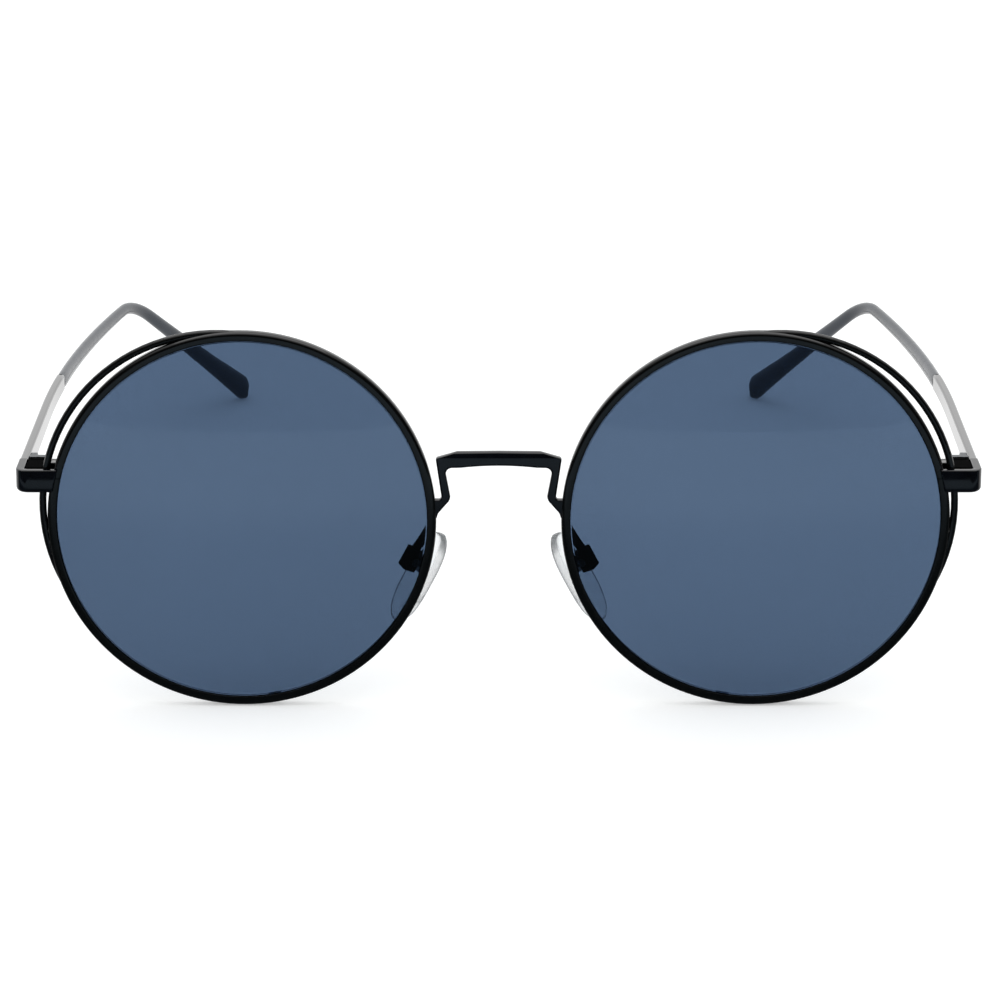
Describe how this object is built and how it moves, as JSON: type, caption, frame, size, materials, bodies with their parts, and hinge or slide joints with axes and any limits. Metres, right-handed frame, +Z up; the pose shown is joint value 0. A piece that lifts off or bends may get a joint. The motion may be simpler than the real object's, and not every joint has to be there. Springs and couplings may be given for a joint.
{
  "type": "round metal sunglasses",
  "caption": "Round wire sunglasses with tinted lenses, a second wire round the outer side of each rim, a flat bar bridge, clear nose pads and folding temples.",
  "frame": {"origin": "on the table, under the middle of the whole object's box", "axes": "+X to the right seen from the front, +Y back towards the ears, +Z up from the table"},
  "size_m": [0.1444, 0.139, 0.0583],
  "materials": {
    "frame_metal": "gloss black",
    "bridge_metal": "gloss black",
    "tinted_lens": "smoke blue, polished",
    "temple_metal": "gloss black",
    "hinge_metal": "dark nickel",
    "screw_steel": "turned",
    "tip_plastic": "gloss dark slate",
    "pad_box_black": "gloss black",
    "clear_pad": "clear, soft"
  },
  "bodies": {
    "front": {"bridge": "bridge_metal", "left_rim": "frame_metal", "right_rim": "frame_metal", "left_lens": "tinted_lens", "right_lens": "tinted_lens", "left_outer_wire": "frame_metal", "right_outer_wire": "frame_metal", "left_endpiece": "frame_metal", "right_endpiece": "frame_metal", "left_upper_block": "frame_metal", "right_upper_block": "frame_metal", "left_lower_block": "frame_metal", "right_lower_block": "frame_metal", "left_block_screw": "screw_steel", "right_block_screw": "screw_steel", "left_front_hinge": "frame_metal", "right_front_hinge": "frame_metal", "left_hinge_screw": "screw_steel", "right_hinge_screw": "screw_steel", "left_pad_arm": "frame_metal", "right_pad_arm": "frame_metal", "left_pad_box": "pad_box_black", "right_pad_box": "pad_box_black", "left_pad_pin": "screw_steel", "right_pad_pin": "screw_steel"},
    "left_temple_arm": {"left_temple_hinge": "hinge_metal", "left_temple": "temple_metal", "left_core_wire": "screw_steel", "left_tip_sleeve": "tip_plastic"},
    "right_temple_arm": {"right_temple_hinge": "hinge_metal", "right_temple": "temple_metal", "right_core_wire": "screw_steel", "right_tip_sleeve": "tip_plastic"},
    "left_pad": {"left_pad_mount": "hinge_metal", "left_nose_pad": "clear_pad"},
    "right_pad": {"right_pad_mount": "hinge_metal", "right_nose_pad": "clear_pad"}
  },
  "joints": [
    {"name": "left_temple_fold", "type": "hinge", "parent": "front", "child": "left_temple_arm", "pos_m": [-0.06955, -0.05995, 0.03492], "axis": [0, -0.0854, -0.9964], "range_deg": [0, 80]},
    {"name": "right_temple_fold", "type": "hinge", "parent": "front", "child": "right_temple_arm", "pos_m": [0.06955, -0.05995, 0.03492], "axis": [0, 0.0854, 0.9964], "range_deg": [0, 66]},
    {"name": "left_pad_rock", "type": "hinge", "parent": "front", "child": "left_pad", "pos_m": [-0.01324, -0.05843, 0.01995], "axis": [-0.4145, 0.8985, 0.1442], "range_deg": [-8, 8]},
    {"name": "right_pad_rock", "type": "hinge", "parent": "front", "child": "right_pad", "pos_m": [0.01324, -0.05843, 0.01995], "axis": [0.4145, 0.8985, 0.1442], "range_deg": [-8, 8]}
  ]
}
